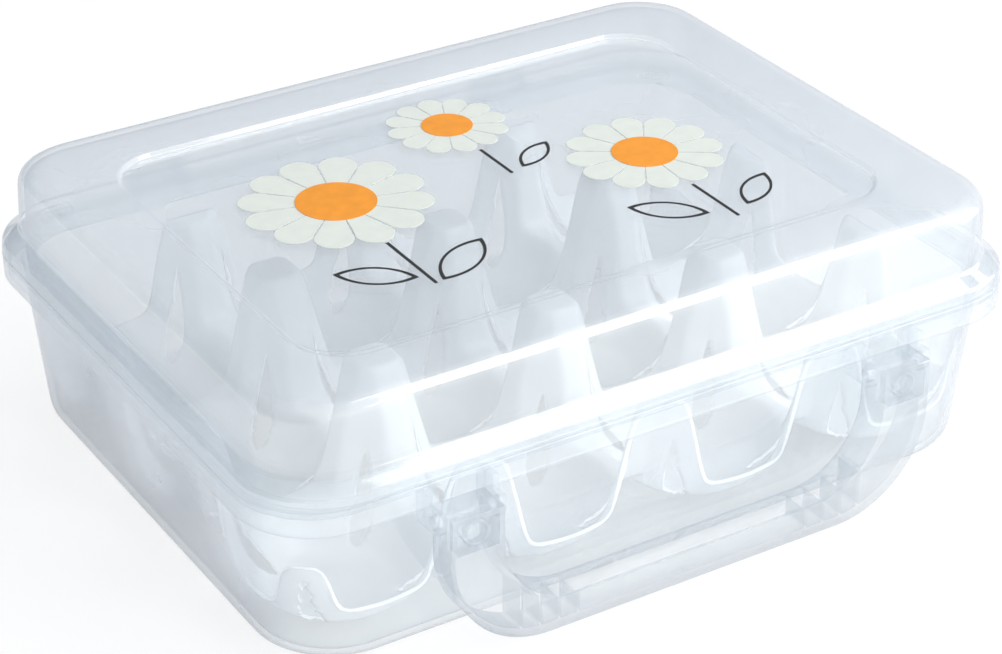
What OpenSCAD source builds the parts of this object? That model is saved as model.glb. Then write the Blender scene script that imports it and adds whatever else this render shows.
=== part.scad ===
// Egg keeper with a flip lid, a lift-out tray for a dozen eggs and a swinging carry handle.
// Origin: middle of the underside. X runs along the front, -Y is the front, +Z is up.

/* [Rim and heights] */
// Length of the rim along the front
rim_length = 246; // [236:1:290]
// Depth of the rim from front to back
rim_width = 190; // [182:1:230]
// Corner radius of the rim
rim_radius = 24; // [22:1:30]
// Height of the joint between base and lid
joint_height = 54; // [50:1:70]
// Height of the whole box
box_height = 80; // [74:1:110]

/* [Base] */
// Wall thickness of the base
base_wall = 1.6; // [1.2:0.1:2.2]
// How far the top of the base wall stands in from the rim
wall_inset_top = 4; // [3.8:0.1:5]
// How far the foot of the base wall stands in from the rim
wall_inset_foot = 8; // [6:0.5:9]
// Radius between wall and underside
foot_radius = 5; // [3:0.5:6]
// Height of the collar that hangs from the base's rim
collar_height = 7.4; // [6:0.2:9]

/* [Lid] */
// Wall thickness of the lid
lid_wall = 1.5; // [1.2:0.1:2]
// Height of the lid's skirt above the joint
skirt_height = 3.2; // [2.6:0.2:4]
// How far the dome stands in from the rim
dome_inset = 5; // [4.5:0.5:8]
// Height of the dome's foot above the joint
dome_foot_height = 6.8; // [6:0.2:9]
// Corner radius of the dome
dome_radius = 21; // [18:1:24]
// Radius of the dome's shoulder
shoulder_radius = 5; // [3:0.5:6]
// How far the dome's wall leans in up to the shoulder
dome_lean = 1; // [0.4:0.2:2]
// How far the sunk panel stands in from the rim
panel_inset = 29; // [24:1:40]
// Corner radius of the sunk panel
panel_radius = 16; // [10:1:20]
// Depth of the sunk panel
panel_depth = 1.2; // [0.6:0.2:2]
// How far the locating lip reaches down into the base
lip_depth = 4; // [3:0.5:6]

/* [Egg tray] */
// Cups along the front
cups_long = 4; // [3:1:5]
// Cups from front to back
cups_deep = 3; // [2:1:4]
// Thickness of the tray's sheet
tray_wall = 1.2; // [0.9:0.1:1.6]
// Radius of the seat at the bottom of a cup
seat_radius = 11; // [9:1:13]
// Height of the seat above the floor of the base
seat_lift = 2; // [1.6:0.2:4]
// Height of the inner posts above the surface the box stands on
post_height = 53; // [50:1:60]
// Height of the posts at the tray's edge
edge_height = 46; // [40:1:46]
// Height of the saddles between neighbouring cups
saddle_height = 15.5; // [14:0.5:18]
// Gap between the tray's edge and the inside of the base
tray_gap = 1.6; // [1:0.1:2.4]
// How far the outer cups are cut off at the tray's edge
edge_trim = 3; // [1:0.5:4]
// Length of the petal windows in each cup
window_length = 13; // [8:0.5:14]
// Width of the petal windows in each cup
window_width = 6; // [4.5:0.5:7]

/* [Carry handle] */
// Width over the two arms
handle_width = 155; // [140:1:166]
// Width of one arm
arm_width = 15.6; // [13:0.2:18]
// Height of the bottom bar
bar_height = 9.4; // [8:0.2:12]
// Depth of the handle from front to back
handle_depth = 10.4; // [9.6:0.2:12]
// Height of the handle above the surface the box stands on
handle_lift = 2; // [1.5:0.5:6]
// Outer corner radius of the handle
handle_radius = 30; // [24:1:32]
// Corner radius of the finger gap
gap_radius = 24; // [14:1:26]
// Thickness of the handle's web and flanges
handle_wall = 1.6; // [1.2:0.1:2]
// Diameter of the ring on each head of the handle
ring_diameter = 8; // [6:0.2:9]
// Diameter of the handle's pivot pins
pin_diameter = 4; // [3:0.2:5]
// Radial clearance of the pivot pins in their holes
pin_clearance = 0.08; // [0.04:0.01:0.1]
// Height of the pivot below the joint
pivot_drop = 10.2; // [9.8:0.2:12]
// Thickness of the ears that carry the pins
ear_wall = 1.8; // [1.5:0.1:2.4]
// Gap between an arm and its ears
side_gap = 0.3; // [0.2:0.1:0.6]

/* [Lid hinge] */
// Distance of each hinge from the middle
hinge_place = 62; // [50:1:75]
// Width of a hinge arm on the lid
hinge_arm_width = 14; // [10:1:18]
// Diameter of the hinge pins
hinge_pin_diameter = 4; // [3:0.2:5]
// How far the hinge axis stands behind the rim
hinge_reach = 4.6; // [4:0.2:6]

/* [Print on the lid] */
// Thickness of each ink layer
ink = 0.12; // [0.1:0.01:0.2]
// Size of the largest printed daisy, measured across
daisy_size = 56; // [44:1:60]

/* [Hidden] */

// Steps along each rounded corner of the moulded shells
corner_steps = 8;
round_steps = 64;
seam_gap = 0.3;
lip_gap = 0.35;
base_top = joint_height - seam_gap / 2;
lid_bottom = joint_height + seam_gap / 2;
collar_bottom = base_top - collar_height;
rim_front = -rim_width / 2;
rim_back = rim_width / 2;

// The handle hangs just in front of the rim, and its pins sit behind the middle of its depth
handle_back = rim_front + 0.8;
handle_front = handle_back - handle_depth;
pivot_y = handle_back - 4;
pivot_z = joint_height - pivot_drop;
head_top = collar_bottom + 0.4;
arm_outer = handle_width / 2;
arm_inner = arm_outer - arm_width;
arm_middle = (arm_outer + arm_inner) / 2;
ear_gap_outer = arm_outer + side_gap;
ear_gap_inner = arm_inner - side_gap;
ear_reach = pin_diameter / 2 + 1.6;
notch_top = base_top - base_wall;

hinge_y = rim_back + hinge_reach;
hinge_z = joint_height;
hinge_boss = hinge_pin_diameter / 2 + 1.5;

// How far the base wall stands in at a height
function wall_inset(z) = wall_inset_foot + (wall_inset_top - wall_inset_foot) * z / base_top;

// One ring of a moulded shell: inset from the rim, height and corner radius
function ring_points(ring) =
    let (hx = rim_length / 2 - ring[0], hy = rim_width / 2 - ring[0], r = ring[2])
    [for (corner = [0:3])
        let (sx = (corner == 0 || corner == 3) ? 1 : -1, sy = corner < 2 ? 1 : -1)
        for (step = [0:corner_steps])
            let (a = corner * 90 + step * 90 / corner_steps)
            [sx * (hx - r) + r * cos(a), sy * (hy - r) + r * sin(a), ring[1]]];

// Shell from a chain of rings, closed by a flat face at each end of the chain
module ring_shell(rings) {
    count = 4 * (corner_steps + 1);
    points = [for (ring = rings) each ring_points(ring)];
    last = (len(rings) - 1) * count;
    sides = [for (i = [0:len(rings) - 2]) for (k = [0:count - 1])
        let (a = i * count + k, b = i * count + (k + 1) % count)
        each [[a, b + count, b], [a, a + count, b + count]]];
    first_cap = [[for (k = [0:count - 1]) k]];
    last_cap = [[for (k = [count - 1:-1:0]) last + k]];
    polyhedron(points = points, faces = concat(sides, first_cap, last_cap), convexity = 8);
}

// Quarter round between two rings, from angle a0 to a1 about (inset, height)
function round_rings(inset, height, radius, corner, a0, a1, steps) =
    [for (i = [0:steps])
        let (a = a0 + (a1 - a0) * i / steps)
        [inset - radius * cos(a), height + radius * sin(a), corner]];

module base_shell() {
    foot_inset = wall_inset(foot_radius) + foot_radius;
    inner_foot = foot_radius - base_wall;
    outer = rim_radius;
    inner = rim_radius - base_wall;
    under_flange = base_top - base_wall;
    rings = concat(
        round_rings(foot_inset, foot_radius, foot_radius, outer, -90, 0, 4),
        [[wall_inset(under_flange), under_flange, outer],
         [base_wall, under_flange, inner],
         [base_wall, collar_bottom, inner],
         [0, collar_bottom, rim_radius],
         [0, base_top - 0.5, rim_radius],
         [0.5, base_top, rim_radius - 0.4],
         [wall_inset(base_top) + base_wall, base_top, inner]],
        round_rings(foot_inset, foot_radius, inner_foot, inner, 0, -90, 3));
    ring_shell(rings);
}

// Pair of ears that hold the two pins of one handle arm
module handle_ears(side) {
    wall_y = rim_front + wall_inset(pivot_z) + base_wall / 2;
    for (x = [ear_gap_inner - ear_wall, ear_gap_outer])
        mirror([side < 0 ? 1 : 0, 0, 0])
            difference() {
                union() {
                    translate([x, pivot_y, pivot_z])
                        rotate([0, 90, 0])
                            cylinder(r = ear_reach, h = ear_wall, $fn = round_steps);
                    translate([x, pivot_y, pivot_z - ear_reach])
                        cube([ear_wall, wall_y - pivot_y, ear_reach + base_top - base_wall / 2 - pivot_z]);
                    translate([x, pivot_y - ear_reach, pivot_z])
                        cube([ear_wall, ear_reach, collar_bottom + base_wall - pivot_z]);
                }
                translate([x - 1, pivot_y, pivot_z])
                    rotate([0, 90, 0])
                        cylinder(d = pin_diameter + 2 * pin_clearance, h = ear_wall + 2, $fn = round_steps);
            }
}

// Cut in the collar that lets an arm's head turn
module collar_notch(side) {
    mirror([side < 0 ? 1 : 0, 0, 0])
        translate([ear_gap_inner, rim_front - 1, collar_bottom - 1])
            cube([ear_gap_outer - ear_gap_inner, base_wall + 1.4, notch_top - collar_bottom + 1]);
}

// Two ears behind the rim that hold one hinge arm's pins
module hinge_ears(side) {
    for (x = [hinge_arm_width / 2 + side_gap, -hinge_arm_width / 2 - side_gap - ear_wall - 0.6])
        translate([side * hinge_place + x, 0, 0])
            difference() {
                union() {
                    translate([0, hinge_y, hinge_z])
                        rotate([0, 90, 0])
                            cylinder(r = hinge_boss, h = ear_wall + 0.6, $fn = round_steps);
                    translate([0, rim_back - base_wall / 2, collar_bottom])
                        cube([ear_wall + 0.6, hinge_reach + base_wall / 2, base_top - collar_bottom]);
                    translate([0, hinge_y, collar_bottom + hinge_boss])
                        rotate([0, 90, 0])
                            cylinder(r = hinge_boss, h = ear_wall + 0.6, $fn = round_steps);
                    translate([0, hinge_y, collar_bottom + hinge_boss])
                        cube([ear_wall + 0.6, hinge_boss, hinge_z - collar_bottom - hinge_boss]);
                }
                translate([-1, hinge_y, hinge_z])
                    rotate([0, 90, 0])
                        cylinder(d = hinge_pin_diameter + 2 * pin_clearance, h = ear_wall + 3, $fn = round_steps);
            }
}

module base_tub() {
    color("aliceblue", 0.5)
        union() {
            difference() {
                base_shell();
                collar_notch(1);
                collar_notch(-1);
            }
            handle_ears(1);
            handle_ears(-1);
            hinge_ears(1);
            hinge_ears(-1);
        }
}

module lid_shell() {
    top = box_height;
    foot = joint_height + dome_foot_height;
    fold = joint_height + skirt_height;
    shoulder_inset = dome_inset + dome_lean + shoulder_radius;
    shoulder_z = top - shoulder_radius;
    lip_inset = wall_inset(base_top) + base_wall + lip_gap;
    lip_radius = rim_radius - base_wall;
    lip_bottom = joint_height - lip_depth;
    slope = 1.4;
    panel_top = top - panel_depth;
    outside_first = concat(
        [[panel_inset + slope / 2, panel_top, panel_radius - slope / 2],
         [panel_inset - slope / 2, top, panel_radius + slope / 2]],
        round_rings(shoulder_inset, shoulder_z, shoulder_radius, dome_radius - 2, 90, 0, 4),
        [[dome_inset, foot, dome_radius],
         [0.6, fold + 0.5, rim_radius - 0.2],
         [0, fold - 0.4, rim_radius],
         [0, lid_bottom, rim_radius],
         [lid_wall, lid_bottom, rim_radius - 1],
         [lid_wall, fold - lid_wall * 0.6, rim_radius - 1],
         [lip_inset, foot - lid_wall * 1.4, lip_radius],
         [lip_inset, lip_bottom, lip_radius],
         [lip_inset + lid_wall, lip_bottom, lip_radius - 1],
         [dome_inset + lid_wall + 0.3, foot + lid_wall, dome_radius - 1]],
        round_rings(shoulder_inset, shoulder_z, shoulder_radius - lid_wall, dome_radius - 3.5, 0, 90, 3),
        [[panel_inset - slope / 2 + 0.5, top - lid_wall, panel_radius + slope / 2],
         [panel_inset + slope / 2 + 0.5, panel_top - lid_wall, panel_radius - slope / 2]]);
    ring_shell([for (i = [len(outside_first) - 1:-1:0]) outside_first[i]]);
}

// Hinge arm of the lid with its two pins
module hinge_arm(side) {
    pin_length = hinge_arm_width + 2 * (side_gap + ear_wall + 0.6);
    translate([side * hinge_place, hinge_y, hinge_z])
        rotate([0, 90, 0])
            union() {
                translate([0, 0, -hinge_arm_width / 2])
                    cylinder(r = hinge_boss, h = hinge_arm_width, $fn = round_steps);
                translate([0, 0, -pin_length / 2])
                    cylinder(d = hinge_pin_diameter, h = pin_length, $fn = round_steps);
            }
    translate([side * hinge_place - hinge_arm_width / 2, rim_back - lid_wall / 2, lid_bottom])
        cube([hinge_arm_width, hinge_reach + lid_wall / 2, skirt_height - 0.6]);
}

module lid_cover() {
    color("ghostwhite", 0.5)
        union() {
            lid_shell();
            hinge_arm(1);
            hinge_arm(-1);
        }
}

floor_top = base_wall;
seat_z = floor_top + seat_lift;
tray_inset = wall_inset(16) + base_wall + tray_gap;
tray_length = rim_length - 2 * tray_inset;
tray_width = rim_width - 2 * tray_inset;
pitch_x = (tray_length + 2 * edge_trim) / cups_long;
pitch_y = (tray_width + 2 * edge_trim) / cups_deep;
tray_radius = rim_radius - 7;
cell_half = min(pitch_x, pitch_y) / 2;

// Line of a cup from its seat upwards: radius against height
cup_line = [
    [seat_radius, seat_z],
    [cell_half * 0.60, seat_z + 1.6],
    [cell_half * 0.80, seat_z + 6.4],
    [cell_half * 0.92, seat_z + 12.4],
    [cell_half * 1.03, seat_z + 26.4],
    [cell_half * 1.12, post_height]];

// Hollow of one cup, grown outwards by a margin that makes the sheet's far side
module cup_bowl(margin, rise) {
    last = cup_line[len(cup_line) - 1];
    wall_line = [for (i = [0:len(cup_line) - 1])
        let (before = cup_line[max(i - 1, 0)], after = cup_line[min(i + 1, len(cup_line) - 1)],
             run = i == 0 ? [1, 0.2] : after - before, size = norm(run))
        [cup_line[i][0] + margin * run[1] / size, cup_line[i][1] - margin * run[0] / size]];
    rotate_extrude($fn = round_steps)
        polygon(concat(
            [[0, seat_z - margin]],
            [[seat_radius, seat_z - margin]],
            [for (i = [1:len(wall_line) - 2]) wall_line[i]],
            [[last[0] + margin, post_height], [last[0] + margin, post_height + rise], [0, post_height + rise]]));
}

// U-shaped opening to the neighbouring cups, grown by the same margin
module cup_channel(length, margin, rise) {
    low = saddle_height - margin;
    half = cell_half * 0.53 + margin;
    wide = cell_half * 0.76 + margin;
    bend = low + cell_half * 0.45;
    rotate([90, 0, 90])
        translate([0, 0, -length / 2])
            linear_extrude(height = length)
                polygon([
                    [-half * 0.62, low], [half * 0.62, low],
                    [half * 0.88, low + 2.6], [half, bend],
                    [wide, post_height], [wide, post_height + rise],
                    [-wide, post_height + rise], [-wide, post_height],
                    [-half, bend], [-half * 0.88, low + 2.6]]);
}

module cup_body(margin, rise) {
    cup_bowl(margin, rise);
    cup_channel(pitch_x + 1, margin, rise);
    rotate([0, 0, 90])
        cup_channel(pitch_y + 1, margin, rise);
}

module at_each_cup() {
    for (i = [0:cups_long - 1])
        for (j = [0:cups_deep - 1])
            translate([(i - (cups_long - 1) / 2) * pitch_x, (j - (cups_deep - 1) / 2) * pitch_y, 0])
                children();
}

// Round-cornered plate used to trim the tray to its outline
module tray_outline(height) {
    hx = tray_length / 2 - tray_radius;
    hy = tray_width / 2 - tray_radius;
    linear_extrude(height = height)
        union() {
            square([2 * hx, tray_width], center = true);
            square([tray_length, 2 * hy], center = true);
            for (x = [-hx, hx])
                for (y = [-hy, hy])
                    translate([x, y])
                        circle(r = tray_radius, $fn = round_steps);
        }
}

// Space of the inner posts, clear of the posts at the edge
module inner_block(low, height) {
    long = (cups_long - 1.35) * pitch_x;
    deep = (cups_deep - 1.35) * pitch_y;
    translate([-long / 2, -deep / 2, low])
        cube([long, deep, height]);
}

// Petal shape that points away from the cup's middle
module petal(length, width) {
    bow = (length * length / 4 + width * width / 4) / width;
    intersection() {
        translate([0, bow - width / 2])
            circle(r = bow, $fn = round_steps);
        translate([0, width / 2 - bow])
            circle(r = bow, $fn = round_steps);
    }
}

module egg_tray() {
    color("white", 0.6)
        difference() {
            intersection() {
                union() {
                    tray_outline(edge_height);
                    inner_block(0, post_height);
                }
                union() {
                    at_each_cup()
                        cup_body(tray_wall, 0);
                    // Tops of the inner posts and of the posts at the edge
                    inner_block(post_height - tray_wall, tray_wall);
                    difference() {
                        translate([-tray_length / 2, -tray_width / 2, edge_height - tray_wall])
                            cube([tray_length, tray_width, tray_wall]);
                        inner_block(0, post_height);
                    }
                    // Foot rings that stand on the floor of the base
                    at_each_cup()
                        translate([0, 0, floor_top])
                            cylinder(r = seat_radius, h = seat_lift - tray_wall / 2, $fn = round_steps);
                }
            }
            at_each_cup()
                cup_body(0, 1);
            at_each_cup()
                translate([0, 0, floor_top - 1])
                    cylinder(r = seat_radius - tray_wall, h = 1 + seat_lift - tray_wall, $fn = round_steps);
            at_each_cup()
                for (a = [45:90:315])
                    rotate([0, 0, a])
                        translate([cell_half * 0.8, 0, floor_top])
                            linear_extrude(height = 26)
                                petal(window_length, window_width);
        }
}

// Outline of the handle, seen from the front, grown inwards by a margin
module handle_outline(margin) {
    r = handle_radius - margin;
    half = arm_outer - margin;
    low = handle_lift + margin;
    top = head_top - margin;
    intersection() {
        translate([-half, low])
            square([2 * half, top - low]);
        union() {
            translate([-half, low + r])
                square([2 * half, top - low]);
            translate([-half + r, low])
                square([2 * (half - r), top - low]);
            for (x = [-half + r, half - r])
                translate([x, low + r])
                    circle(r = r, $fn = round_steps);
        }
    }
}

// Opening between the arms, grown outwards by a margin
module handle_gap(margin) {
    r = gap_radius + margin;
    half = arm_inner + margin;
    low = handle_lift + bar_height - margin;
    union() {
        translate([-half, low + r])
            square([2 * half, head_top]);
        translate([-half + r, low])
            square([2 * (half - r), r + 1]);
        for (x = [-half + r, half - r])
            translate([x, low + r])
                circle(r = r, $fn = round_steps);
    }
}

module handle_slab(y_front, depth) {
    translate([0, y_front + depth, 0])
        rotate([90, 0, 0])
            linear_extrude(height = depth)
                children();
}

module carry_handle() {
    pin_reach = side_gap + ear_wall;
    pocket_top = head_top - handle_wall;
    pocket_low = pivot_z - 8;
    pocket_back = handle_front + 4.4;
    pocket_half = arm_width / 2 - handle_wall;
    ring_z = pivot_z - 3.2;
    color("lavender", 0.6)
        difference() {
            union() {
                // Channel: a web across the front and flanges round both edges
                handle_slab(handle_front, handle_depth)
                    difference() {
                        handle_outline(0);
                        handle_gap(0);
                    }
            }
            // Hollow of the channel, open at the back
            handle_slab(handle_front + handle_wall, handle_depth)
                difference() {
                    handle_outline(handle_wall);
                    handle_gap(handle_wall);
                    // Cross ribs in the two lower corners
                    for (x = [-1, 1])
                        for (k = [0:3])
                            translate([x * (arm_inner - gap_radius + 6 * k) - 0.5, 0])
                                square([1, head_top / 2]);
                }
            // Pockets in the fronts of the heads
            for (side = [-1, 1])
                translate([side * arm_middle - pocket_half, handle_front - 1, pocket_low])
                    cube([2 * pocket_half, 1 + handle_wall + 1, pocket_top - pocket_low]);
        }
    color("lavender", 0.6)
        for (side = [-1, 1])
            translate([side * arm_middle, 0, 0]) {
                // Floor and back of the pocket
                translate([-arm_width / 2 + 0.5, pocket_back, pocket_low - handle_wall])
                    cube([arm_width - 1, handle_wall, pocket_top - pocket_low + handle_wall + 0.5]);
                translate([-arm_width / 2 + 0.5, handle_front + 0.5, pocket_low - handle_wall])
                    cube([arm_width - 1, pocket_back - handle_front, handle_wall]);
                // Ring on the back of the pocket
                translate([0, pocket_back + 0.2, ring_z])
                    rotate([90, 0, 0])
                        difference() {
                            cylinder(d = ring_diameter, h = 3.6, $fn = round_steps);
                            translate([0, 0, 0.8])
                                cylinder(d = ring_diameter - 2, h = 4, $fn = round_steps);
                        }
                // Pivot pins on both sides of the head
                translate([-arm_width / 2 - pin_reach, pivot_y, pivot_z])
                    rotate([0, 90, 0])
                        cylinder(d = pin_diameter, h = pin_reach + handle_wall, $fn = round_steps);
                translate([arm_width / 2 - handle_wall, pivot_y, pivot_z])
                    rotate([0, 90, 0])
                        cylinder(d = pin_diameter, h = pin_reach + handle_wall, $fn = round_steps);
            }
}

// Printed daisies: place on the panel, size against the largest one and turn
daisies = [[-46, 12, 1, 0], [46, -8, 0.84, 12], [6, 38, 0.66, 20]];
// Printed leaves: place on the panel, turn and size
leaves = [[-33, -36, 35, 1], [-58, -32, 145, 0.9], [60, -44, 40, 0.8], [31, -42, 140, 0.9], [18, 8, 35, 0.7]];
petal_count = 12;
panel_z = box_height - panel_depth;

module on_panel(layer) {
    translate([0, 0, panel_z + layer * ink])
        linear_extrude(height = ink)
            children();
}

module at_daisy(d) {
    translate([d[0], d[1]])
        rotate(d[3])
            children();
}

module print_petals() {
    color("gainsboro")
        on_panel(0)
            for (d = daisies)
                at_daisy(d) {
                    circle(d = daisy_size * d[2] * 0.3, $fn = round_steps);
                    for (k = [0:petal_count - 1])
                        rotate(k * 360 / petal_count)
                            union() {
                                translate([daisy_size * d[2] * 0.4, 0])
                                    circle(d = daisy_size * d[2] * 0.2, $fn = round_steps);
                                polygon([[0, 0],
                                    [daisy_size * d[2] * 0.4, -daisy_size * d[2] * 0.1],
                                    [daisy_size * d[2] * 0.4, daisy_size * d[2] * 0.1]]);
                            }
                }
}

module print_hearts() {
    color("darkorange")
        on_panel(1)
            for (d = daisies)
                at_daisy(d)
                    circle(d = daisy_size * d[2] * 0.42, $fn = round_steps);
}

module print_stems() {
    color("black")
        on_panel(0) {
            for (d = daisies)
                translate([d[0] - 0.5, d[1] - daisy_size * d[2] * 1.0])
                    square([1, daisy_size * d[2] * 0.48]);
            for (l = leaves)
                translate([l[0], l[1]])
                    rotate(l[2])
                        difference() {
                            petal(26 * l[3], 11 * l[3]);
                            petal(26 * l[3] - 3.4, 11 * l[3] - 1.6);
                        }
        }
}

base_tub();
lid_cover();
egg_tray();
carry_handle();
print_petals();
print_hearts();
print_stems();
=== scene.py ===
import math

import bmesh
import bpy
import numpy as np
from bpy.props import FloatProperty, FloatVectorProperty, PointerProperty
from bpy.types import Operator, Panel, PropertyGroup
from mathutils import Matrix, Vector


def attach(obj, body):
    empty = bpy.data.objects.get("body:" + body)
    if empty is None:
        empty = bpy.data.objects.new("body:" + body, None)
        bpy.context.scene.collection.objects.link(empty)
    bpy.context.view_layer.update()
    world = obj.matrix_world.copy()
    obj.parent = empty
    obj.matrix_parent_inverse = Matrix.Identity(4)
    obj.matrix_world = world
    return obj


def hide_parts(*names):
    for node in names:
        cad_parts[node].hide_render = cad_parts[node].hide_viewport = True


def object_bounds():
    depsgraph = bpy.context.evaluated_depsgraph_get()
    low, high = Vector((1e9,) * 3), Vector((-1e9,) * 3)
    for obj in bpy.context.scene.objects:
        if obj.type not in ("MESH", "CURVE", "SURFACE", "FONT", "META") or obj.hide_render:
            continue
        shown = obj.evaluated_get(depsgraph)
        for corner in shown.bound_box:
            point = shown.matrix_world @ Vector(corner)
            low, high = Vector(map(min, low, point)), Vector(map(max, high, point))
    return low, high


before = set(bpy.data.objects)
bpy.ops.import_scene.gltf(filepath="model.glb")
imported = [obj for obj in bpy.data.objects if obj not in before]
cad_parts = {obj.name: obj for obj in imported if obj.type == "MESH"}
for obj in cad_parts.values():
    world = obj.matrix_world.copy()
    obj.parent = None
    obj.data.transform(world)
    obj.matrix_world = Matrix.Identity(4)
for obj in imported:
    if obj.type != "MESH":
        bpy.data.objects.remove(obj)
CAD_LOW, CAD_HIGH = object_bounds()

bl_info = {
    "name": "Egg keeper with flip lid",
    "version": (1, 0, 0),
    "blender": (4, 5, 0),
    "location": "3D View > Sidebar > Egg keeper",
    "description": "Dresses the frame of a translucent egg keeper and sets its studio",
    "category": "Object",
}

MM = 0.001


def linear(code):
    """An sRGB hex value as linear red, green and blue."""
    parts = [int(code[i:i + 2], 16) / 255 for i in (1, 3, 5)]
    return tuple(p / 12.92 if p <= 0.04045 else ((p + 0.055) / 1.055) ** 2.4 for p in parts)


def length(name, text, value):
    return FloatProperty(name=name, description=text, default=value, unit="LENGTH", precision=4)


def colour(name, text, code):
    return FloatVectorProperty(
        name=name, description=text, default=linear(code), subtype="COLOR", size=3, min=0, max=1)


class KeeperSizes(PropertyGroup):
    rim_length: length("Rim length", "Length of the rim along the front", 0.246)
    rim_width: length("Rim width", "Depth of the rim from front to back", 0.190)
    rim_radius: length("Rim radius", "Corner radius of the rim", 0.024)
    joint_height: length("Joint height", "Height of the joint between base and lid", 0.054)
    box_height: length("Box height", "Height of the whole box", 0.080)
    base_wall: length("Base wall", "Wall thickness of the base", 0.0016)
    lid_wall: length("Lid wall", "Wall thickness of the lid", 0.0015)
    tray_wall: length("Tray wall", "Thickness of the tray's sheet", 0.0012)
    collar_height: length("Collar", "Height of the collar under the rim", 0.0074)
    post_height: length("Posts", "Height of the tray's inner posts", 0.053)
    edge_height: length("Edge posts", "Height of the posts at the tray's edge", 0.046)


class KeeperColours(PropertyGroup):
    milk: colour("Milk", "What the plastic scatters back", "#f8fafd")
    tint: colour("Tint", "What one face of the plastic lets through", "#fdfefe")
    # Painted shade: the blue-grey that the plastic lets through when seen edge on stands in for the walls'
    # dark outlines
    painted_edge_shade: colour("Dusk", "What a face seen on edge lets through", "#8a94a3")
    tray_milk: colour("Tray milk", "What the tray's plastic scatters back", "#fcfdfe")
    petals: colour("Petals", "Ink of the printed petals", "#d9dcd3")
    hearts: colour("Hearts", "Ink of the printed flower hearts", "#f59a1e")
    stems: colour("Stems", "Ink of the printed lines", "#1d1c1a")
    floor: colour("Floor", "Studio floor and backdrop as the camera sees them", "#ffffff")
    paint: colour("Floor paint", "What the floor throws back as a surface", "#f3f3f3")
    sky: colour("Sky", "Surroundings on the dark side", "#e5f1ff")


def sizes():
    return bpy.context.scene.keeper_sizes


def colours():
    return bpy.context.scene.keeper_colours


# Mesh helpers


def put_mesh(name, points, quads, polygons=(), material=None, body="base", node=None, slot=None,
             sharp=38):
    """Puts computed points and faces into an object that rides on a body and stands for a CAD node."""
    mesh = bpy.data.meshes.new(name)
    loops = np.concatenate([np.asarray(quads).ravel()] + [np.asarray(p) for p in polygons]).astype(np.int32)
    counts = np.concatenate([np.full(len(quads), 4), [len(p) for p in polygons]]).astype(np.int32)
    starts = np.concatenate([[0], np.cumsum(counts)[:-1]]).astype(np.int32)
    mesh.vertices.add(len(points))
    mesh.vertices.foreach_set("co", np.ascontiguousarray(points, np.float32).ravel())
    mesh.loops.add(len(loops))
    mesh.loops.foreach_set("vertex_index", loops)
    mesh.polygons.add(len(counts))
    mesh.polygons.foreach_set("loop_start", starts)
    mesh.update(calc_edges=True)
    mesh.validate()
    mesh.polygons.foreach_set("use_smooth", np.ones(len(mesh.polygons), bool))
    mesh.set_sharp_from_angle(angle=math.radians(sharp))
    piece = bpy.data.objects.new(name, mesh)
    bpy.context.scene.collection.objects.link(piece)
    for m in material or ():
        mesh.materials.append(m)
    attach(piece, body)
    if node:
        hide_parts(node)
    return piece


def grid_faces(rows, columns, wrap_rows=False, wrap_columns=True, first=0):
    """Quads of a grid of points, row by row; each row is a loop when its columns wrap."""
    r = np.arange(rows if wrap_rows else rows - 1)[:, None]
    c = np.arange(columns if wrap_columns else columns - 1)[None, :]
    r1 = (r + 1) % rows
    c1 = (c + 1) % columns
    faces = np.stack([r * columns + c, r * columns + c1, r1 * columns + c1, r1 * columns + c], -1)
    return faces.reshape(-1, 4) + first


def rounded_profile(corners, steps=6):
    """A chain of (inset, height, corner radius, fillet) as points: each fillet is a quadratic curve
    that leaves and meets its two edges a fillet's length from the corner."""
    chain = np.array([c[:3] for c in corners], float)
    out = [chain[:1]]
    t = np.linspace(0, 1, steps + 1)[:, None]
    for i in range(1, len(corners) - 1):
        fillet = corners[i][3]
        if fillet <= 0:
            out.append(chain[i:i + 1])
            continue
        back, ahead = chain[i - 1] - chain[i], chain[i + 1] - chain[i]
        start = chain[i] + back * min(0.49, fillet / np.hypot(*back[:2]))
        end = chain[i] + ahead * min(0.49, fillet / np.hypot(*ahead[:2]))
        out.append((1 - t) ** 2 * start + 2 * t * (1 - t) * chain[i] + t ** 2 * end)
    out.append(chain[-1:])
    return np.concatenate(out)


def rim_loops(profile, steps=18, straight=14):
    """A rounded rectangle for each profile point: quarter circles about the four corner centres with
    evenly divided straights between, at the profile's inset from the rim. Returns rows of points."""
    s = sizes()
    inset, height, radius = (profile[:, k:k + 1] * MM for k in range(3))
    half_x, half_y = s.rim_length / 2 - inset, s.rim_width / 2 - inset
    angle = np.linspace(0, math.pi / 2, steps + 1)[None, :]
    share = np.linspace(0, 1, straight + 1)[None, 1:-1]
    loops = []
    for turn, (sx, sy) in enumerate(((1, 1), (-1, 1), (-1, -1), (1, -1))):
        a = angle + turn * math.pi / 2
        x = sx * (half_x - radius) + radius * np.cos(a)
        y = sy * (half_y - radius) + radius * np.sin(a)
        loops.append(np.stack([x, y], -1))
    rows = []
    for turn in range(4):
        here, there = loops[turn], loops[(turn + 1) % 4]
        gap = here[:, -1:, :] + (there[:, :1, :] - here[:, -1:, :]) * share[..., None]
        rows += [here, gap]
    flat = np.concatenate(rows, 1)
    return np.concatenate([flat, np.broadcast_to(height[:, :, None], flat.shape[:2] + (1,))], -1)


def closed_shell(name, profile, **kwargs):
    """Rim loops along a profile, with a flat face inside the first and the last loop."""
    rows = rim_loops(profile)
    count = rows.shape[1]
    last = (len(rows) - 1) * count
    caps = [np.arange(count)[::-1], last + np.arange(count)]
    return put_mesh(name, rows.reshape(-1, 3), grid_faces(len(rows), count), caps, **kwargs)


def tube(section_rows, first=0):
    """Faces of a bar whose section is a loop and whose rows follow its length, closed at both ends."""
    rows, count = section_rows.shape[:2]
    last = (rows - 1) * count
    quads = grid_faces(rows, count, first=first)
    return quads, [first + np.arange(count)[::-1], first + last + np.arange(count)]


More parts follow.
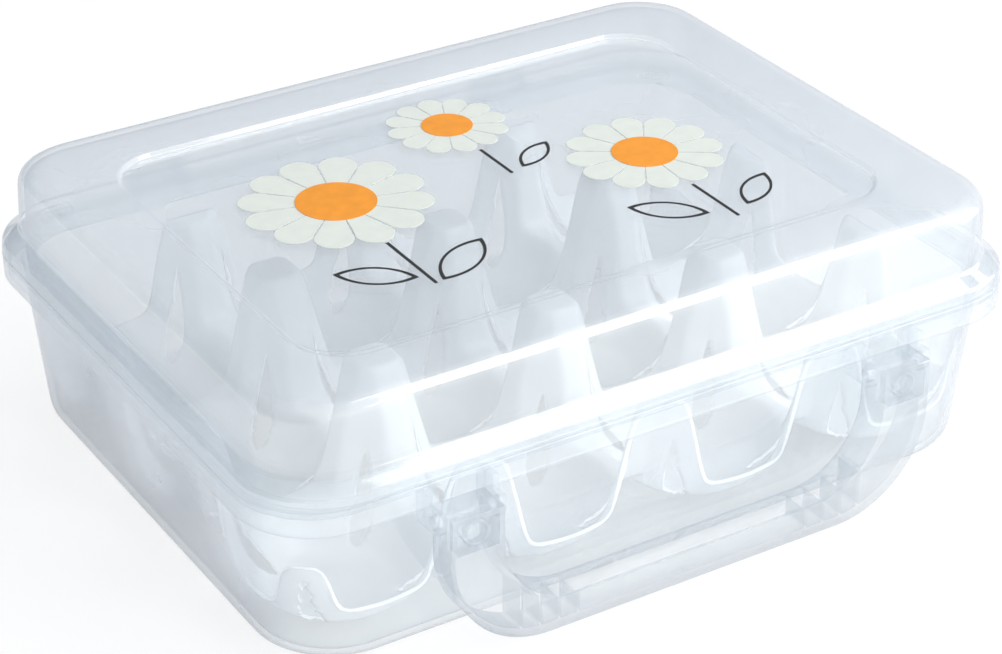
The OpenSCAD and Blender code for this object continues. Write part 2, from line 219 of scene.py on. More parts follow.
# Profile values of the mouldings, in millimetres
WALL_TOP, WALL_FOOT = 4.0, 8.0
SEAM, LIP_GAP = 0.3, 0.35
EAR_GAP_IN, EAR_GAP_OUT = 61.6, 77.8
EAR_WALL = 1.8
PIVOT_Y, PIVOT_Z = -98.2, 43.8
PIN_RADIUS, BORE_RADIUS = 2.0, 2.08
HINGE_X, HINGE_Y, HINGE_Z, HINGE_HALF = 62.0, 99.6, 54.0, 7.0
HINGE_BOSS, HINGE_EAR = 3.5, 2.4


def wall_inset(z):
    return WALL_FOOT + (WALL_TOP - WALL_FOOT) * z / (sizes().joint_height / MM - SEAM / 2)


def ear_plate(x, thick, pivot, boss, boxes, bore, angles=96):
    """A plate with a bore: at each angle about the pivot the edge lies where the ray leaves the boss
    circle or the last of the boxes (y low, y high, z low, z high about the pivot)."""
    a = np.arange(angles) * 2 * math.pi / angles
    dy, dz = np.cos(a), np.sin(a)
    edge = np.full(angles, boss)
    for y0, y1, z0, z1 in boxes:
        with np.errstate(divide="ignore", invalid="ignore"):
            ry = np.where(dy > 1e-9, y1 / dy, np.where(dy < -1e-9, y0 / dy, np.inf))
            rz = np.where(dz > 1e-9, z1 / dz, np.where(dz < -1e-9, z0 / dz, np.inf))
        edge = np.maximum(edge, np.minimum(ry, rz))
    hole = np.full(angles, bore)
    rings = []
    for radius, at in ((hole, x), (edge, x), (edge, x + thick), (hole, x + thick)):
        rings.append(np.stack([np.full(angles, at), pivot[0] + radius * dy, pivot[1] + radius * dz], -1))
    return np.stack(rings) * MM


def gather(blocks, wrap_rows):
    """Several grids of points as one set of points and quads."""
    points, quads, first = [], [], 0
    for block in blocks:
        points.append(block.reshape(-1, 3))
        quads.append(grid_faces(block.shape[0], block.shape[1], wrap_rows=wrap_rows, first=first))
        first += len(points[-1])
    return np.concatenate(points), np.concatenate(quads)


def revolve_x(profile, centre, angles=40):
    """A surface of revolution about an axis along X: each profile point (x, radius) becomes a circle."""
    a = np.arange(angles) * 2 * math.pi / angles
    x, r = profile[:, :1], profile[:, 1:2]
    ring = np.stack([centre[0] + x + 0 * a, centre[1] + r * np.cos(a), centre[2] + r * np.sin(a)], -1)
    return ring * MM


def add_node(tree, kind, settings=(), links=()):
    """Adds a node, sets its inputs or attributes by name, and links sockets to its inputs."""
    node = tree.nodes.new(kind)
    for key, value in settings:
        if isinstance(key, int) or key in node.inputs:
            node.inputs[key].default_value = value
        else:
            setattr(node, key, value)
    for key, socket in links:
        tree.links.new(socket, node.inputs[key])
    return node


def new_material(name):
    material = bpy.data.materials.new(name)
    material.use_nodes = True
    material.node_tree.nodes.clear()
    return material, material.node_tree


WHITE = (1, 1, 1, 1)
WAVE_LENGTH, CLOUD_LENGTH = 0.030, 0.055
FROST_FROM, FROST_TO = 0.0765, 0.0785
VEIL_BEND, SHINE_BEND, SHINE_AT_EDGE = 3.0, 5.0, 0.75


def translucent_polypropylene(name, milk, tint, painted_edge_shade, face, edge, roughness, sheen, relay=0.4,
                              frost=0.0, painted_glow=0.0,
                              shade=0.3, painted_edge_shade_bend=3.0):
    """Natural polypropylene, injection moulded in a polished mould: a thin milky wall that lets most
    light straight through, looks milkier the longer the light's way through it, and shines; a painted
    shade darkens what it lets through towards edge-on faces, and a cut edge may carry painted light.
    Its slight waviness is 30 mm long, as sink marks and flow fronts are. The arguments: the veil's
    share seen face on and edge on, the gloss's roughness and its share face on, the share of the
    veil's light that goes on inwards, extra veil on the lid's flat top, the strength of the light
    painted on a cut edge as emission, the share of a shadow the wall casts, and how late the painted
    edge shade sets in towards the edge."""
    material, tree = new_material(name)
    place = add_node(tree, "ShaderNodeTexCoord")
    waves = add_node(tree, "ShaderNodeTexNoise",
                     [("Scale", 1 / WAVE_LENGTH), ("Detail", 2.0), ("Roughness", 0.5)],
                     [("Vector", place.outputs["Object"])])
    bump = add_node(tree, "ShaderNodeBump", [("Strength", 0.25), ("Distance", 0.0006)],
                    [("Height", waves.outputs["Fac"])])
    clouds = add_node(tree, "ShaderNodeTexNoise",
                      [("Scale", 1 / CLOUD_LENGTH), ("Detail", 3.0), ("Roughness", 0.55)],
                      [("Vector", place.outputs["Object"])])
    slant = add_node(tree, "ShaderNodeLayerWeight", [("Blend", 0.5)])
    veil_bend = add_node(tree, "ShaderNodeMath", [("operation", "POWER"), (1, VEIL_BEND)],
                         [(0, slant.outputs["Facing"])])
    veil = add_node(tree, "ShaderNodeMapRange", [("To Min", face), ("To Max", edge)],
                    [("Value", veil_bend.outputs[0])])
    patch = add_node(tree, "ShaderNodeMapRange", [("To Min", 0.8), ("To Max", 1.2)],
                     [("Value", clouds.outputs["Fac"])])
    veiled = add_node(tree, "ShaderNodeMath", [("operation", "MULTIPLY"), ("use_clamp", True)],
                      [(0, veil.outputs[0]), (1, patch.outputs[0])])
    if frost:
        height = add_node(tree, "ShaderNodeSeparateXYZ", (), [(0, place.outputs["Object"])])
        matt = add_node(tree, "ShaderNodeMapRange",
                        [("From Min", FROST_FROM), ("From Max", FROST_TO),
                         ("To Min", 0.0), ("To Max", frost)],
                        [("Value", height.outputs["Z"])])
        veiled = add_node(tree, "ShaderNodeMath", [("operation", "ADD"), ("use_clamp", True)],
                          [(0, veiled.outputs[0]), (1, matt.outputs[0])])
    # Painted shade: what the wall lets through turns from the tint to the darker edge colour as the face
    # turns edge on
    dim = add_node(tree, "ShaderNodeMath", [("operation", "POWER"), (1, painted_edge_shade_bend)],
                   [(0, slant.outputs["Facing"])])
    passed = add_node(tree, "ShaderNodeMix", [("data_type", "RGBA")], [(0, dim.outputs[0])])
    passed.inputs[6].default_value = (*tint, 1)
    passed.inputs[7].default_value = (*painted_edge_shade, 1)
    clear = add_node(tree, "ShaderNodeBsdfTransparent", (), [("Color", passed.outputs[2])])
    back = add_node(tree, "ShaderNodeBsdfDiffuse", [("Color", (*milk, 1))])
    through = add_node(tree, "ShaderNodeBsdfTranslucent", [("Color", (*milk, 1))])
    cloudy = add_node(tree, "ShaderNodeMixShader", [(0, relay)],
                      [(1, back.outputs[0]), (2, through.outputs[0])])
    # Painted light: the cut edge emits light of its own, as though light led along the sheet came out there
    if painted_glow:
        painted_edge_glow = add_node(tree, "ShaderNodeEmission", [("Color", (*milk, 1)), ("Strength", painted_glow)])
        cloudy = add_node(tree, "ShaderNodeAddShader", (), [(0, cloudy.outputs[0]), (1, painted_edge_glow.outputs[0])])
    wall = add_node(tree, "ShaderNodeMixShader", (),
                    [(0, veiled.outputs[0]), (1, clear.outputs[0]), (2, cloudy.outputs[0])])
    shine_bend = add_node(tree, "ShaderNodeMath", [("operation", "POWER"), (1, SHINE_BEND)],
                          [(0, slant.outputs["Facing"])])
    shine = add_node(tree, "ShaderNodeMapRange", [("To Min", sheen), ("To Max", SHINE_AT_EDGE)],
                     [("Value", shine_bend.outputs[0])])
    gloss = add_node(tree, "ShaderNodeBsdfGlossy", [("Color", WHITE), ("Roughness", roughness)],
                     [("Normal", bump.outputs[0])])
    surface = add_node(tree, "ShaderNodeMixShader", (),
                       [(0, shine.outputs[0]), (1, wall.outputs[0]), (2, gloss.outputs[0])])
    # Milk this thin throws most light on forwards, so the wall takes only a share of a shadow
    path = add_node(tree, "ShaderNodeLightPath")
    lit = add_node(tree, "ShaderNodeMath", [("operation", "MULTIPLY"), (1, 1 - shade)],
                   [(0, path.outputs["Is Shadow Ray"])])
    onward = add_node(tree, "ShaderNodeBsdfTransparent", [("Color", (*tint, 1))])
    whole = add_node(tree, "ShaderNodeMixShader", (),
                     [(0, lit.outputs[0]), (1, surface.outputs[0]), (2, onward.outputs[0])])
    add_node(tree, "ShaderNodeOutputMaterial", (), [("Surface", whole.outputs[0])])
    return material


def screen_ink(name, code, spread):
    """Pad-printed ink, cured: an even satin film a little mottled at 4 mm where the ink lay thicker."""
    material, tree = new_material(name)
    place = add_node(tree, "ShaderNodeTexCoord")
    mottle = add_node(tree, "ShaderNodeTexNoise", [("Scale", 1 / 0.004), ("Detail", 2.0)],
                      [("Vector", place.outputs["Object"])])
    dark = tuple(c * (1 - spread) for c in code)
    mix = add_node(tree, "ShaderNodeMix", [("data_type", "RGBA")], [(0, mottle.outputs["Fac"])])
    mix.inputs[6].default_value = (*dark, 1)
    mix.inputs[7].default_value = (*code, 1)
    ink = add_node(tree, "ShaderNodeBsdfPrincipled", [("Roughness", 0.35)],
                   [("Base Color", mix.outputs[2])])
    add_node(tree, "ShaderNodeOutputMaterial", (), [("Surface", ink.outputs[0])])
    return material


MATERIALS = {}


def finishes():
    """The object's finishes, made once."""
    if not MATERIALS:
        c = colours()
        # The walls of base, lid and handle and the tray's sheet darken towards edge-on faces with a painted
        # shade
        clear = dict(tint=c.tint, painted_edge_shade=c.painted_edge_shade, roughness=0.06)
        MATERIALS["shell"] = translucent_polypropylene(
            "translucent_polypropylene_polished", c.milk, face=0.12, edge=0.52, sheen=0.06, **clear)
        MATERIALS["lid"] = translucent_polypropylene(
            "translucent_polypropylene_lid", c.milk, face=0.1, edge=0.5, sheen=0.08, frost=0.1, **clear)
        MATERIALS["handle"] = translucent_polypropylene(
            "translucent_polypropylene_handle", c.milk, face=0.1, edge=0.4, sheen=0.1, painted_edge_shade_bend=2.1,
            **clear)
        MATERIALS["tray"] = translucent_polypropylene(
            "translucent_polypropylene_satin", c.tray_milk, c.tint, c.painted_edge_shade, face=0.72, edge=0.9,
            roughness=0.2, sheen=0.05, relay=0.25, shade=1.0)
        # The tray's cut edges carry painted light: they emit light of their own
        MATERIALS["tray_edge"] = translucent_polypropylene(
            "translucent_polypropylene_cut_edge", c.tray_milk, c.tint, c.tint, face=0.9, edge=0.95,
            roughness=0.3, sheen=0.05, relay=0.3, painted_glow=0.25)
        MATERIALS["petals"] = screen_ink("pad_print_ink_cream", tuple(c.petals), 0.12)
        MATERIALS["hearts"] = screen_ink("pad_print_ink_orange", tuple(c.hearts), 0.25)
        MATERIALS["stems"] = screen_ink("pad_print_ink_black", tuple(c.stems), 0.1)
    return MATERIALS


class KEEPER_OT_base(Operator):
    """Base tub: the tapered shell with its flange, the collar under the flange and the ears"""
    bl_idname = "keeper.base"
    bl_label = "Base tub"

    def execute(self, context):
        s = sizes()
        wall = s.base_wall / MM
        top = s.joint_height / MM - SEAM / 2
        corner = s.rim_radius / MM
        flange = top - wall
        low = top - s.collar_height / MM
        look = dict(material=[finishes()["shell"]], body="base", node="base_tub", slot="clear_base")
        closed_shell("base_shell", rounded_profile([
            (16, 0, 22, 0),
            (wall_inset(0), 0, corner, 6),
            (wall_inset(flange), flange, corner, 0.6),
            (0, flange, corner, 0.25),
            (0, top, corner, 0.5),
            (wall_inset(top) + wall, top, corner - wall, 0.4),
            (wall_inset(0) + wall, wall, corner - wall, 4.6),
            (16, wall, 20, 0)]), **look)
        self.collar(flange, low, wall, corner, look)
        self.ears(top, low, wall, flange, look)
        return {"FINISHED"}

    def collar(self, flange, low, wall, corner, look):
        """The collar's section carried along the rim as far as the two notches in which the handle's
        heads turn, and along the straight between them: the rim's points are put in order of their
        angle about the middle, counted from the right-hand notch."""
        section = rounded_profile([
            (wall, flange, corner - wall, 0), (wall, low, corner - wall, 0.5), (0, low, corner, 0.5),
            (0, flange, corner, 0)], steps=4)
        front = -sizes().rim_width / 2
        x_in, x_out = EAR_GAP_IN * MM, EAR_GAP_OUT * MM
        loops = rim_loops(section)
        angle = np.arctan2(loops[0, :, 1], loops[0, :, 0]) - math.atan2(front, x_out)
        path = loops[:, np.argsort(angle % (2 * math.pi))].transpose(1, 0, 2)
        at_notches = (path[:, -1, 1] < front + 1e-6) & (np.abs(path[:, -1, 0]) <= x_out)
        path = path[~at_notches]
        straight = np.array([x_out, -x_out, -x_in, x_in])[:, None, None] * np.array([1, 0, 0])
        straight = straight + np.stack(
            [0 * section[:, 0], front + section[:, 0] * MM, section[:, 1] * MM], -1)
        ring = np.concatenate([straight[:1], path, straight[1:2]])
        first, points, quads, caps = 0, [], [], []
        for block in (straight[:1:-1], ring[::-1]):
            q, c = tube(block, first)
            points.append(block.reshape(-1, 3))
            quads.append(q)
            caps += c
            first += len(points[-1])
        put_mesh("base_collar", np.concatenate(points), np.concatenate(quads), caps, **look)

    def ears(self, top, low, wall, flange, look):
        """Plates beside the handle's heads and beside the lid's hinge arms, each with its bore."""
        reach = PIN_RADIUS + 1.6
        face = -sizes().rim_width / 2 / MM + wall_inset(PIVOT_Z) + wall / 2
        arm_boxes = [(0, face - PIVOT_Y, -reach, flange - PIVOT_Z), (-reach, 0, 0, low + wall - PIVOT_Z)]
        blocks = []
        for x in (EAR_GAP_IN - EAR_WALL, EAR_GAP_OUT, -EAR_GAP_IN, -EAR_GAP_OUT - EAR_WALL):
            blocks.append(ear_plate(x, EAR_WALL, (PIVOT_Y, PIVOT_Z), reach, arm_boxes, BORE_RADIUS))
        points, quads = gather(blocks, True)
        put_mesh("handle_ears", points, quads, **look)
        rear = sizes().rim_width / 2 / MM
        hinge_boxes = [(rear - 0.2 - HINGE_Y, 0, low - HINGE_Z, top - HINGE_Z),
                       (-1e-3, HINGE_BOSS, low + 2.5 - HINGE_Z, 0)]
        blocks = []
        for side in (-1, 1):
            for x in (side * HINGE_X + HINGE_HALF + SEAM, side * HINGE_X - HINGE_HALF - SEAM - HINGE_EAR):
                blocks.append(ear_plate(x, HINGE_EAR, (HINGE_Y, HINGE_Z), HINGE_BOSS, hinge_boxes,
                                        BORE_RADIUS))
        points, quads = gather(blocks, True)
        put_mesh("hinge_ears", points, quads, **look)


class KEEPER_OT_lid(Operator):
    """Lid cover: skirt, sloped flange, dome with a rounded shoulder and a sunk panel, hinge arms"""
    bl_idname = "keeper.lid"
    bl_label = "Lid cover"

    def execute(self, context):
        s = sizes()
        wall = s.lid_wall / MM
        top = s.box_height / MM
        joint = s.joint_height / MM
        low = joint + SEAM / 2
        corner = s.rim_radius / MM
        lip = wall_inset(joint - SEAM / 2) + s.base_wall / MM + LIP_GAP
        look = dict(material=[finishes()["lid"]], body="lid", node="lid_cover", slot="clear_lid")
        outside_first = [
            (34, top - 1.2, 12, 0),
            (29.5, top - 1.2, 15.5, 0.35),
            (28.6, top, 16.4, 0.35),
            (6.2, top, 19, 5.2),
            (5, joint + 6.8, 21, 1.2),
            (0.4, joint + 3.7, 23.8, 0.9),
            (0, low, corner, 0.35),
            (wall, low, corner - 1, 0.35),
            (wall, joint + 2.3, corner - 1, 0.6),
            (lip, joint + 4.7, corner - 1.6, 0.4),
            (lip, joint - 4, corner - 1.6, 0.4),
            (lip + wall, joint - 4, corner - 2.6, 0.4),
            (6.8, joint + 8.3, 20, 1.5),
            (7.8, top - wall, 17.5, 4),
            (28.7, top - wall, 16.8, 0.6),
            (30.3, top - 1.2 - wall, 15.2, 0.6),
            (34, top - 1.2 - wall, 12, 0)]
        profile = rounded_profile(outside_first)[::-1]
        closed_shell("lid_shell", profile, **look)
        self.arms(wall, low, look)
        return {"FINISHED"}

    def arms(self, wall, low, look):
        """Each hinge arm: a stepped pin turned about X, and a flat bridge from the skirt to it."""
        reach = HINGE_HALF + SEAM + HINGE_EAR
        turned = np.array([
            (-reach, 0), (-reach, PIN_RADIUS - 0.3), (-reach + 0.3, PIN_RADIUS), (-HINGE_HALF, PIN_RADIUS),
            (-HINGE_HALF, HINGE_BOSS - 0.3), (-HINGE_HALF + 0.3, HINGE_BOSS), (HINGE_HALF - 0.3, HINGE_BOSS),
            (HINGE_HALF, HINGE_BOSS - 0.3), (HINGE_HALF, PIN_RADIUS), (reach - 0.3, PIN_RADIUS),
            (reach, PIN_RADIUS - 0.3), (reach, 0)], float)
        turned[[0, -1], 1] = 0.02
        rear = sizes().rim_width / 2 / MM
        points, quads, caps, first = [], [], [], 0
        section = np.array([(-HINGE_HALF, 0), (HINGE_HALF, 0), (HINGE_HALF, 2.6), (-HINGE_HALF, 2.6)])
        for side in (-1, 1):
            rows = revolve_x(turned, (side * HINGE_X, HINGE_Y, HINGE_Z))
            across = side * HINGE_X + section[:, 0]
            bridge = np.stack([np.stack([across, np.full(4, y), low + section[:, 1]], -1)
                               for y in (HINGE_Y, rear - wall / 2)]) * MM
            for block in (rows, bridge):
                q, c = tube(block, first)
                points.append(block.reshape(-1, 3))
                quads.append(q)
                caps += c
                first += len(points[-1])
        put_mesh("lid_hinge_arms", np.concatenate(points), np.concatenate(quads), caps, **look)


class KEEPER_OT_tray(Operator):
    """Egg tray: one sheet drawn into twelve cups, with posts, saddles, petal windows and foot rings"""
    bl_idname = "keeper.tray"
    bl_label = "Egg tray"

    cups = (4, 3)
    bowl = ((0, 3.6), (10.6, 3.6), (12.5, 3.8), (17.4, 5.2), (23.2, 10.0), (26.7, 16.0), (29.9, 30.0),
            (32.5, 53.0), (34, 62.0))
    channel = ((0, 15.5), (9.5, 15.5), (12.2, 16.6), (13.6, 18.4), (14.6, 22.5), (15.4, 28.5), (22.0, 53.0),
               (24.5, 62.0))
    edge_trim = 3.0
    window = (23.2, 13.0, 6.0)
    corner_inset = 7.0
    snap_share = 0.62
    foot_inner, foot_outer, foot_low, foot_high = 9.8, 11.0, 1.6, 3.2

    def execute(self, context):
        s = sizes()
        inset = wall_inset(16) + s.base_wall / MM + 1.6
        half = np.array([s.rim_length / 2 / MM - inset, s.rim_width / 2 / MM - inset])
        pitch = (2 * half + 2 * self.edge_trim) / np.array(self.cups)
        look = dict(body="tray", node="egg_tray", slot="milky_tray")
        self.sheet(half, pitch, look)
        self.feet(pitch, look)
        return {"FINISHED"}

    def heights(self, x, y, pitch):
        """Height of the sheet: the lowest of the bowl's height at the distance from the nearest cup's
        middle and the two channels' heights at the distances from its centre lines, capped by the posts."""
        cell = np.stack([x / pitch[0] + self.cups[0] / 2, y / pitch[1] + self.cups[1] / 2], -1)
        near = np.clip(np.floor(cell), 0, np.array(self.cups) - 1)
        dx, dy = ((cell - near - 0.5) * pitch)[..., 0], ((cell - near - 0.5) * pitch)[..., 1]
        bowl = np.interp(np.hypot(dx, dy), *np.array(self.bowl).T)
        along = np.interp(np.abs(dy), *np.array(self.channel).T)
        across = np.interp(np.abs(dx), *np.array(self.channel).T)
        inner = (np.abs(x) < (self.cups[0] - 1.35) * pitch[0] / 2) & (
            np.abs(y) < (self.cups[1] - 1.35) * pitch[1] / 2)
        cap = np.where(inner, sizes().post_height / MM, sizes().edge_height / MM)
        return np.minimum(np.minimum(np.minimum(bowl, along), across), cap), dx, dy

    def sheet(self, half, pitch, look):
        """The sheet's outer surface on a grid with 1 mm steps. In each corner square each offset from the
        arc's centre shrinks by the root of one less half the other offset's square over the radius
        squared, which makes the square a quarter disc. The points nearest a petal's edge then move
        onto it, and the faces inside the petals are left out."""
        step, margin, smoothings = 1.0, 3, 2
        counts = np.round(2 * half / step).astype(int)
        beyond = margin * 2 * half / counts
        x, y = np.meshgrid(*(np.linspace(-h - e, h + e, n + 1 + 2 * margin)
                             for h, e, n in zip(half, beyond, counts)), indexing="ij")
        radius = sizes().rim_radius / MM - self.corner_inset
        u = np.maximum(np.abs(x) - (half[0] - radius), 0)
        v = np.maximum(np.abs(y) - (half[1] - radius), 0)
        squeeze_x, squeeze_y = (np.sqrt(1 - w ** 2 / 2 / radius ** 2) for w in (v, u))
        x = x - np.sign(x) * u * (1 - squeeze_x)
        y = y - np.sign(y) * v * (1 - squeeze_y)
        dx, dy = self.heights(x, y, pitch)[1:]
        # Signed distance to the nearest petal's edge, negative inside; a petal is two arcs that meet
        side_x, side_y = np.where(dx < 0, -1, 1), np.where(dy < 0, -1, 1)
        along = (np.abs(dx) + np.abs(dy)) / math.sqrt(2) - self.window[0]
        across = (np.abs(dx) - np.abs(dy)) / math.sqrt(2)
        long, wide = self.window[1:]
        bow = (long ** 2 + wide ** 2) / 4 / wide
        out_across = np.where(across < 0, -1, 1) * (np.abs(across) + bow - wide / 2)
        reach = np.hypot(along, out_across)
        petal = reach - bow
        near = np.abs(petal) < self.snap_share * step * np.sqrt(squeeze_x * squeeze_y)
        move = np.where(near, petal / reach, 0)
        x = x - side_x * move * (along + out_across) / math.sqrt(2)
        y = y - side_y * move * (along - out_across) / math.sqrt(2)
        petal[near] = 0
        z = self.heights(x, y, pitch)[0]
        for _ in range(smoothings):
            z[1:-1] = (z[:-2] + 2 * z[1:-1] + z[2:]) / 4
            z[:, 1:-1] = (z[:, :-2] + 2 * z[:, 1:-1] + z[:, 2:]) / 4
        core = (slice(margin, -margin), slice(margin, -margin))
        x, y, z, petal = (f[core] for f in (x, y, z, petal))
        rows, columns = x.shape
        quads = grid_faces(rows, columns, wrap_columns=False)[:, ::-1]
        quads = quads[~(petal.ravel()[quads] <= 0).all(1)]
        used, quads = np.unique(quads, return_inverse=True)
        points = np.stack([x, y, z], -1).reshape(-1, 3)[used] * MM
        piece = put_mesh("tray_sheet", points, quads.reshape(-1, 4),
                         material=[finishes()["tray"], finishes()["tray_edge"]], sharp=50, **look)
        wall = piece.modifiers.new("Sheet", "SOLIDIFY")
        wall.thickness = sizes().tray_wall
        wall.offset = -1
        wall.use_even_offset = True
        wall.thickness_clamp = 1.0
        wall.material_offset_rim = 1

    def feet(self, pitch, look):
        """Foot rings: a square section turned about each cup's axis."""
        a = np.arange(48) * 2 * math.pi / 48
        section = np.array([(self.foot_inner, self.foot_low), (self.foot_outer, self.foot_low),
                            (self.foot_outer, self.foot_high), (self.foot_inner, self.foot_high)])
        ring = np.stack([section[:, :1] * np.cos(a), section[:, :1] * np.sin(a),
                         section[:, 1:] + 0 * a], -1)
        blocks = []
        for i in range(self.cups[0]):
            for j in range(self.cups[1]):
                centre = ((i - (self.cups[0] - 1) / 2) * pitch[0], (j - (self.cups[1] - 1) / 2) * pitch[1], 0)
                blocks.append((ring + centre) * MM)
        points, quads = gather(blocks, True)
        put_mesh("tray_feet", points, quads, material=[finishes()["tray"]], **look)


class KEEPER_OT_handle(Operator):
    """Carry handle: a copy of its solid with the loose triangles joined and the edges rounded"""
    bl_idname = "keeper.handle"
    bl_label = "Carry handle"

    def execute(self, context):
        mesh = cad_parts["carry_handle"].data.copy()
        mesh.name = "handle_moulding"
        work = bmesh.new()
        work.from_mesh(mesh)
        bmesh.ops.remove_doubles(work, verts=work.verts, dist=2e-6)
        bmesh.ops.dissolve_limit(work, angle_limit=math.radians(1.0), verts=work.verts,
                                 edges=work.edges)
        work.to_mesh(mesh)
        work.free()
        mesh.materials.clear()
        mesh.materials.append(finishes()["handle"])
        piece = bpy.data.objects.new("handle_moulding", mesh)
        bpy.context.scene.collection.objects.link(piece)
        soft = piece.modifiers.new("Edges", "BEVEL")
        soft.width, soft.segments, soft.limit_method = 0.0004, 2, "ANGLE"
        soft.angle_limit = math.radians(35)
        soft.harden_normals = True
        mesh.polygons.foreach_set("use_smooth", np.ones(len(mesh.polygons), bool))
        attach(piece, "handle")
        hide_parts("carry_handle")
        return {"FINISHED"}


class KEEPER_OT_print(Operator):
    """Finishes for the print on the lid, whose thin solids carry over as they are"""
    bl_idname = "keeper.print"
    bl_label = "Lid print"

    def execute(self, context):
        for finish in ("petals", "hearts", "stems"):
            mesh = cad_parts["print_" + finish].data
            mesh.materials.clear()
            mesh.materials.append(finishes()[finish])
        return {"FINISHED"}


SKY_TOWARD, SKY_BEND = (0.62, -0.78, 0.05), 3.0
SKY_LIGHT, SKY_MIRRORED = (0.48, 2.65), (0.48, 1.3)
CAMERA_PLACE, CAMERA_LENS, CAMERA_FILM = (-0.3804, -0.6194, 0.4470), 101.64, 36
CAMERA_RIGHT, CAMERA_UP = (0.8507, -0.5256, -0.0018), (0.2630, 0.4227, 0.8673)
CAMERA_AHEAD = (0.4551, 0.7383, -0.4978)


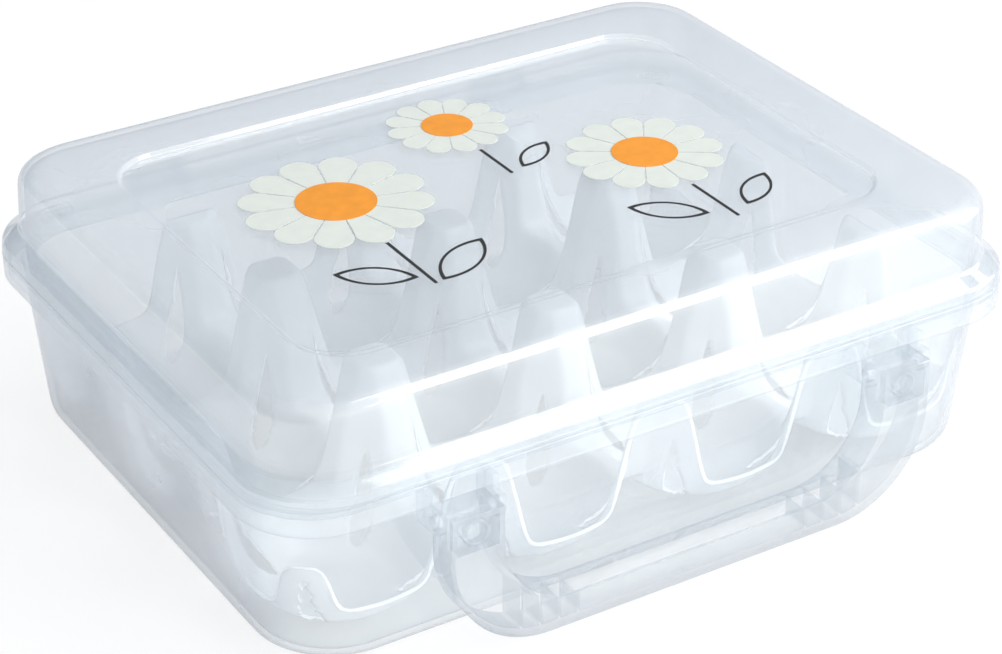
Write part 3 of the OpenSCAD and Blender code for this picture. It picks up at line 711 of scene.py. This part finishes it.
class KEEPER_OT_stage(Operator):
    """Studio: pale floor, white surroundings, soft lamps and the camera"""
    bl_idname = "keeper.stage"
    bl_label = "Studio"

    def execute(self, context):
        scene = context.scene
        scene.view_settings.view_transform = "Standard"
        scene.cycles.transparent_max_bounces = 64
        self.floor()
        self.world(scene)
        self.lamp("softbox_front_right", toward=(0.52, -0.46, 0.72), along=(0, 0.85, 0.53),
                  distance=1.4, wide=0.5, tall=1.6, radiance=3.6)
        self.lamp("softbox_right", toward=(0.86, -0.42, 0.28), along=(0, 0, 1),
                  distance=0.62, wide=0.4, tall=0.4, radiance=2.4)
        self.camera(scene)
        return {"FINISHED"}

    def floor(self):
        """A painted floor just under the object; the camera sees a fifth of its light and shadow
        over white, so that the object's shadow stays."""
        points = np.array([(-6, -6, 0), (6, -6, 0), (6, 6, 0), (-6, 6, 0)], float)
        points[:, 2] = CAD_LOW.z - 0.0002
        mesh = bpy.data.meshes.new("studio_floor")
        mesh.from_pydata(points.tolist(), [], [(0, 1, 2, 3)])
        floor = bpy.data.objects.new("studio_floor", mesh)
        bpy.context.scene.collection.objects.link(floor)
        material, tree = new_material("painted_studio_floor")
        path = add_node(tree, "ShaderNodeLightPath")
        seen = add_node(tree, "ShaderNodeMath", [("operation", "MAXIMUM")],
                        [(0, path.outputs["Is Camera Ray"]), (1, path.outputs["Is Glossy Ray"])])
        seen = add_node(tree, "ShaderNodeMath", [("operation", "MAXIMUM")],
                        [(0, seen.outputs[0]), (1, path.outputs["Is Transmission Ray"])])
        share = add_node(tree, "ShaderNodeMath", [("operation", "MULTIPLY"), (1, 0.8)],
                         [(0, seen.outputs[0])])
        paint = add_node(tree, "ShaderNodeBsdfDiffuse", [("Color", (*colours().paint, 1))])
        white = add_node(tree, "ShaderNodeEmission", [("Color", (*colours().floor, 1)), ("Strength", 1.0)])
        both = add_node(tree, "ShaderNodeMixShader", (),
                        [(0, share.outputs[0]), (1, paint.outputs[0]), (2, white.outputs[0])])
        add_node(tree, "ShaderNodeOutputMaterial", (), [("Surface", both.outputs[0])])
        mesh.materials.append(material)

    def world(self, scene):
        """White where it is seen straight or through a wall. As a light it is brightest from the front
        right and bluish on the dark side, and a mirror image of it is dimmer than its light."""
        world = bpy.data.worlds.new("studio_surroundings")
        world.use_nodes = True
        tree = world.node_tree
        tree.nodes.clear()
        path = add_node(tree, "ShaderNodeLightPath")
        seen = add_node(tree, "ShaderNodeMath", [("operation", "MAXIMUM")],
                        [(0, path.outputs["Is Camera Ray"]), (1, path.outputs["Is Transmission Ray"])])
        place = add_node(tree, "ShaderNodeTexCoord")
        side = add_node(tree, "ShaderNodeVectorMath",
                        [("operation", "DOT_PRODUCT"), (1, SKY_TOWARD)],
                        [(0, place.outputs["Generated"])])
        share = add_node(tree, "ShaderNodeMapRange", [("From Min", -1.0), ("From Max", 1.0)],
                         [("Value", side.outputs["Value"])])
        gather_in = add_node(tree, "ShaderNodeMath", [("operation", "POWER"), (1, SKY_BEND)],
                             [(0, share.outputs[0])])
        power = add_node(tree, "ShaderNodeMapRange", [("To Min", SKY_LIGHT[0]), ("To Max", SKY_LIGHT[1])],
                         [("Value", gather_in.outputs[0])])
        mirrored = add_node(tree, "ShaderNodeMapRange",
                            [("To Min", SKY_MIRRORED[0]), ("To Max", SKY_MIRRORED[1])],
                            [("Value", gather_in.outputs[0])])
        power = add_node(tree, "ShaderNodeMix", [("data_type", "FLOAT")],
                         [(0, path.outputs["Is Glossy Ray"]), (2, power.outputs[0]),
                          (3, mirrored.outputs[0])])
        hue = add_node(tree, "ShaderNodeMix", [("data_type", "RGBA")], [(0, share.outputs[0])])
        hue.inputs[6].default_value = (*colours().sky, 1)
        hue.inputs[7].default_value = WHITE
        light = add_node(tree, "ShaderNodeBackground", (),
                         [("Color", hue.outputs[2]), ("Strength", power.outputs[0])])
        white = add_node(tree, "ShaderNodeBackground", [("Color", WHITE), ("Strength", 1.0)])
        both = add_node(tree, "ShaderNodeMixShader", (),
                        [(0, seen.outputs[0]), (1, light.outputs[0]), (2, white.outputs[0])])
        add_node(tree, "ShaderNodeOutputWorld", (), [("Surface", both.outputs[0])])
        scene.world = world

    def lamp(self, name, toward, along, distance, wide, tall, radiance):
        """A softbox that faces the object from a direction, its long side turned along another."""
        back = Vector(toward).normalized()
        up = (Vector(along) - back * back.dot(Vector(along))).normalized()
        data = bpy.data.lights.new(name, "AREA")
        data.shape = "RECTANGLE"
        data.size, data.size_y = wide, tall
        data.energy = radiance * math.pi * wide * tall
        lamp = bpy.data.objects.new(name, data)
        bpy.context.scene.collection.objects.link(lamp)
        turn = Matrix((up.cross(back), up, back)).transposed()
        lamp.matrix_world = Matrix.Translation(back * distance + Vector((0, 0, 0.06))) @ turn.to_4x4()

    def camera(self, scene):
        """The camera where the photograph's stood, turned as it was."""
        data = bpy.data.cameras.new("camera")
        data.sensor_width = CAMERA_FILM
        data.lens = CAMERA_LENS
        data.clip_start, data.clip_end = 0.05, 30
        camera = bpy.data.objects.new("camera", data)
        scene.collection.objects.link(camera)
        turn = Matrix((CAMERA_RIGHT, CAMERA_UP, -Vector(CAMERA_AHEAD))).transposed()
        camera.matrix_world = Matrix.Translation(CAMERA_PLACE) @ turn.to_4x4()
        scene.camera = camera


class KEEPER_PT_panel(Panel):
    """Lists the keeper's pieces in the sidebar"""
    bl_label = "Egg keeper"
    bl_space_type = "VIEW_3D"
    bl_region_type = "UI"
    bl_category = "Egg keeper"

    def draw(self, context):
        for operator in OPERATORS:
            self.layout.operator(operator.bl_idname)
        for group in (context.scene.keeper_sizes, context.scene.keeper_colours):
            for name in group.__annotations__:
                self.layout.prop(group, name)


OPERATORS = (KEEPER_OT_base, KEEPER_OT_lid, KEEPER_OT_tray, KEEPER_OT_handle,
             KEEPER_OT_print, KEEPER_OT_stage)
CLASSES = (KeeperSizes, KeeperColours, *OPERATORS, KEEPER_PT_panel)


def register():
    for kind in CLASSES:
        bpy.utils.register_class(kind)
    bpy.types.Scene.keeper_sizes = PointerProperty(type=KeeperSizes)
    bpy.types.Scene.keeper_colours = PointerProperty(type=KeeperColours)


def unregister():
    del bpy.types.Scene.keeper_colours
    del bpy.types.Scene.keeper_sizes
    for kind in reversed(CLASSES):
        bpy.utils.unregister_class(kind)


def main():
    register()
    bpy.ops.keeper.base()
    bpy.ops.keeper.lid()
    bpy.ops.keeper.tray()
    bpy.ops.keeper.handle()
    bpy.ops.keeper.print()
    bpy.ops.keeper.stage()


if __name__ == "__main__":
    main()
